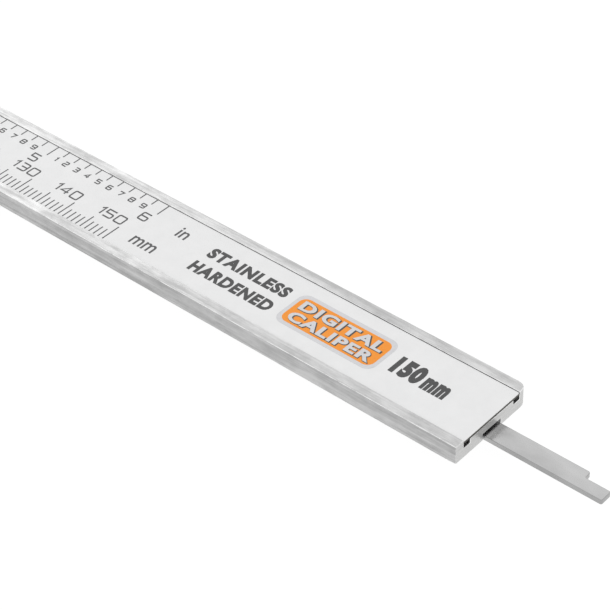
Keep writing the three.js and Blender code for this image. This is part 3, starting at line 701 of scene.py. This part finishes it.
# Words: the text, its left, right, foot and top, the extra weight and the letter spacing.
UNITS = [("in", 158.1, 160.2, 1.38, 3.8, 0.01, 1.0),
         ("mm", 153.6, 158.45, -4.17, -2.31, 0.01, 1.0)]
WORDS = [("STAINLESS", 165.4, 181.5, 0.74, 3.21, 0.055, 1.16),
         ("HARDENED", 165.2, 181.5, -3.19, -0.76, 0.055, 1.16),
         ("150", 203.4, 208.5, -1.78, 2.05, 0.078, 1.16),
         ("mm", 209.0, 213.2, -1.78, 0.9, 0.07, 1.15)]

# The badge: left, right, foot, top and corner radius of its two layers, then its letters.
BORDER_BOX = (183.1, 201.7, -3.64, 3.72, 1.6)
FIELD_BOX = (183.75, 201.05, -2.94, 2.97, 1.3)
BADGE_WORDS = [("DIGITAL", 0.3, 2.45), ("CALIPER", -2.45, -0.3)]  # the text, its foot and top
LETTERS_X = (184.55, 200.2)
SHADOW_X = (184.6, 200.5)
SHADOW_BELOW, SHADOW_ABOVE = 0.13, 0.03  # how far the shadow stands out past the letters
LETTER_WEIGHT, SHADOW_WEIGHT = 0.04, 0.07
BADGE_SPACING = 1.12

# The film is wider than the CAD label by these, and leaves a dark line along the back rail.
FILM_FRONT, FILM_BACK = 0.06, 0.03
FILM_CORNER = 0.12


def print_scale():
    """Millimetre ticks and numbers along the front edge, inch ones along the back edge."""
    layer = Print()
    for i in range(1, MM_MARKS + 1):
        step = 10 if i % 10 == 0 else 5 if i % 5 == 0 else 1
        layer.bar(i - TICK_WIDTH / 2, i + TICK_WIDTH / 2, MM_TICK_FOOT, MM_TICK_TOPS[step])
        if step == 10:
            layer.number(str(i), i - NUMBER_LEAD, *MM_NUMBER)
    for i in range(1, TENTH_MARKS + 1):
        x = i * TENTH
        foot = TENTH_TICK_FEET[10 if i % 10 == 0 else 1]
        layer.bar(x - TICK_WIDTH / 2, x + TICK_WIDTH / 2, foot, TENTH_TICK_TOP)
        if i % 10:
            layer.number(str(i % 10), x - NUMBER_LEAD, *TENTH_NUMBER)
        else:
            layer.number(str(i // 10), x - NUMBER_LEAD, *INCH_NUMBER)
    for word in UNITS:
        layer.words(*word)
    layer.piece("scale_print", "scale_ink", "beam", on_label)


def print_words():
    """The material marking and the measuring range, in bold letters."""
    layer = Print()
    for word in WORDS:
        layer.words(*word)
    layer.piece("word_print", "word_ink", "beam", on_label)


def print_badge():
    """An orange badge with a grey border and plain lettering, in four overlapping layers."""
    border = Print()
    border.rounded_box(*BORDER_BOX)
    border.piece("badge_border", "badge_grey", "beam", on_label)
    field = Print()
    field.rounded_box(*FIELD_BOX)
    field.piece("badge_field", "badge_orange", "beam", on_label,
                foot=0.0, face=0.02)
    shadow = Print()
    letters = Print()
    for text, y0, y1 in BADGE_WORDS:
        shadow.words(text, *SHADOW_X, y0 - SHADOW_BELOW, y1 + SHADOW_ABOVE,
                     SHADOW_WEIGHT, BADGE_SPACING)
        letters.words(text, *LETTERS_X, y0, y1, LETTER_WEIGHT, BADGE_SPACING)
    shadow.piece("badge_shadow", "word_ink", "beam", on_label,
                 foot=0.01, face=0.028)
    letters.piece("badge_letters", "badge_grey", "beam", on_label,
                  foot=0.02, face=0.036)


def label_film():
    """The label itself: a thin film with cut edges."""
    film = Print()
    side = (LABEL_HIGH.y - LABEL_LOW.y) / 2 / MM
    left = (LABEL_LOW.x - on_label(0, 0).x) / MM
    film.rounded_box(left, LABEL_END, -side - FILM_FRONT, side + FILM_BACK, FILM_CORNER, steps=3)
    thickness = (LABEL_HIGH.z - LABEL_LOW.z) / MM
    made = film.piece("label_film", "label_white", "beam", on_label,
                      foot=-thickness, face=0.0)
    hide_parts("scale_label")


# ---- Display unit ----------------------------------------------------------------------------

# The bars of a seven-segment numeral that each digit shows, named as in seven_segments.
SEGMENTS = {
    "0": "abcdef", "1": "bc", "2": "abged", "3": "abgcd", "4": "fgbc",
    "5": "afgcd", "6": "afgcde", "7": "abc", "8": "abcdefg", "9": "abcdfg",
}
READING = "19.50"
# The reading on its panel, in mm: where the first numeral stands, and the numerals' size.
FIRST_X, NUMERAL_FOOT, NUMERAL_WIDTH, NUMERAL_HEIGHT = 9.7, 2.9, 3.6, 7.2
SEGMENT_STROKE, SEGMENT_GAP = 1.05, 0.1
NUMERAL_SPACE, POINT_SPACE = 1.9, 1.6
POINT_BOX = (-0.65, 0.35, 2.4, 3.4)  # left and right from the pen, foot and top
POINT_CORNER = 0.2
UNIT_BOX = (0.2, 4.2, 2.6, 4.7)  # the same for the unit


def on_panel(x, y, z):
    """A point in millimetres from the lower left corner of the liquid-crystal panel's face."""
    return Vector((PANEL_LOW.x + x * MM, PANEL_LOW.y + y * MM, PANEL_HIGH.z + z * MM))


def seven_segments(layer, digit, left):
    """One numeral made of bars with pointed ends."""
    right = left + NUMERAL_WIDTH
    foot, top = NUMERAL_FOOT, NUMERAL_FOOT + NUMERAL_HEIGHT
    middle = (foot + top) / 2
    bars = {
        "a": ((left, top), (right, top)),
        "b": ((right, top), (right, middle)),
        "c": ((right, middle), (right, foot)),
        "d": ((left, foot), (right, foot)),
        "e": ((left, middle), (left, foot)),
        "f": ((left, top), (left, middle)),
        "g": ((left, middle), (right, middle)),
    }
    for name in SEGMENTS[digit]:
        start, end = (Vector(p) for p in bars[name])
        along = (end - start).normalized()
        across = Vector((-along.y, along.x)) * SEGMENT_STROKE / 2
        start += along * SEGMENT_GAP
        end -= along * SEGMENT_GAP
        tip = along * SEGMENT_STROKE / 2
        layer.polygon([start, start + tip - across, end - tip - across, end,
                       end - tip + across, start + tip + across])


def display_reading():
    """What the display shows with the jaws as they lie."""
    layer = Print()
    x = FIRST_X
    for character in READING:
        if character == ".":
            x0, x1, y0, y1 = POINT_BOX
            layer.rounded_box(x + x0, x + x1, y0, y1, POINT_CORNER, steps=3)
            x += POINT_SPACE
        else:
            seven_segments(layer, character, x)
            x += NUMERAL_WIDTH + NUMERAL_SPACE
    x0, x1, y0, y1 = UNIT_BOX
    layer.words("mm", x + x0, x + x1, y0, y1, bolder=0.03)
    layer.piece("display_reading", "lcd_ink", "slider", on_panel,
                foot=0.01, face=0.03)


def on_roof(x, y, z):
    """A point in millimetres from the housing's left end and the beam's centreline."""
    return Vector((HOUSING_LOW.x + x * MM, CENTRE_Y + y * MM, HOUSING_HIGH.z + z * MM))


# Words on the housing, as in WORDS, but from its left end.
ROOF_WORDS = [("ON/OFF", 11.0, 18.0, -13.0, -11.75, 0.02),
              ("ZERO", 24.2, 28.8, -13.0, -11.75, 0.02),
              ("mm/in", 35.8, 41.2, -13.1, -11.7, 0.015),
              ("0-150 mm", 5.4, 15.4, 9.5, 11.1, 0.02),
              ("0.01 mm", 35.0, 43.8, 9.5, 11.1, 0.02)]


def housing_print():
    """What the buttons do, the range and the resolution."""
    layer = Print()
    for word in ROOF_WORDS:
        layer.words(*word)
    layer.piece("housing_print", "panel_print", "slider", on_roof,
                foot=-0.01, face=0.02)


# ---- Floor, light and camera -----------------------------------------------------------------

FLOOR_HALF = 3.0  # half the floor's side, in metres
FLOOR_DROP = 0.05 * MM  # keeps the floor off the face that the caliper lies on
FLOOR_GLOW = 0.94  # the floor is a lit table, so that it stays white beside the caliper
TENT_LIGHT = 0.96
# Each soft box: its place from the caliper's middle in metres, its side and its power in watts.
SOFT_BOXES = {
    "soft_box": ((-0.80, 0.40, 0.47), 0.5, 0.75),
    "side_box": ((0.7, -0.2, 0.8), 0.5, 0.5),
}
# Fitted to the ticks and numbers of the photographed scale.
CAMERA_PLACE = (337.36, -158.43, 186.36)  # on_label's millimetres
CAMERA_TURN = (49.820, 2.347, 41.622)  # degrees about x, y and z
CAMERA_SENSOR, CAMERA_LENS = 36.0, 116.27  # mm


def make_floor():
    """A large white light table under the caliper."""
    mesh = bmesh.new()
    height = cad_box[0].z - FLOOR_DROP
    mesh.faces.new([mesh.verts.new((x * FLOOR_HALF, y * FLOOR_HALF, height))
                    for x, y in ((-1, -1), (1, -1), (1, 1), (-1, 1))])
    data = bpy.data.meshes.new("floor")
    mesh.to_mesh(data)
    mesh.free()
    shader = Shader("floor_paper", (0.10, 0.10, 0.10), 0.9, Specular_IOR_Level=0.0,
                    Emission_Strength=FLOOR_GLOW)
    shader.set("Emission Color", (1, 1, 1, 1))
    data.materials.append(shader.material)
    floor = bpy.data.objects.new("floor", data)
    bpy.context.scene.collection.objects.link(floor)


def make_light():
    """A white tent: even light from all round, and two large soft boxes above."""
    world = bpy.data.worlds.new("studio")
    bpy.context.scene.world = world
    world.use_nodes = True
    background = world.node_tree.nodes["Background"]
    background.inputs["Color"].default_value = (1, 1, 1, 1)
    background.inputs["Strength"].default_value = TENT_LIGHT
    centre = (cad_box[0] + cad_box[1]) / 2
    for name, (offset, side, power) in SOFT_BOXES.items():
        data = bpy.data.lights.new(name, "AREA")
        data.size = side
        data.energy = power
        lamp = bpy.data.objects.new(name, data)
        lamp.location = centre + Vector(offset)
        lamp.rotation_euler = (-Vector(offset)).to_track_quat("-Z", "Y").to_euler()
        bpy.context.scene.collection.objects.link(lamp)


def make_camera():
    """Looks down at the end of the beam from the front right, through a long lens."""
    data = bpy.data.cameras.new("camera")
    data.sensor_width = CAMERA_SENSOR
    data.lens = CAMERA_LENS
    data.clip_start = 10 * MM
    camera = bpy.data.objects.new("camera", data)
    camera.location = on_label(*CAMERA_PLACE)
    camera.rotation_euler = [math.radians(angle) for angle in CAMERA_TURN]
    bpy.context.scene.collection.objects.link(camera)
    bpy.context.scene.camera = camera


bpy.context.scene.view_settings.view_transform = "Standard"
make_camera()
make_light()
make_floor()
finish_nodes()
paint_inner_nodes()
label_film()
print_scale()
print_words()
print_badge()
display_reading()
housing_print()
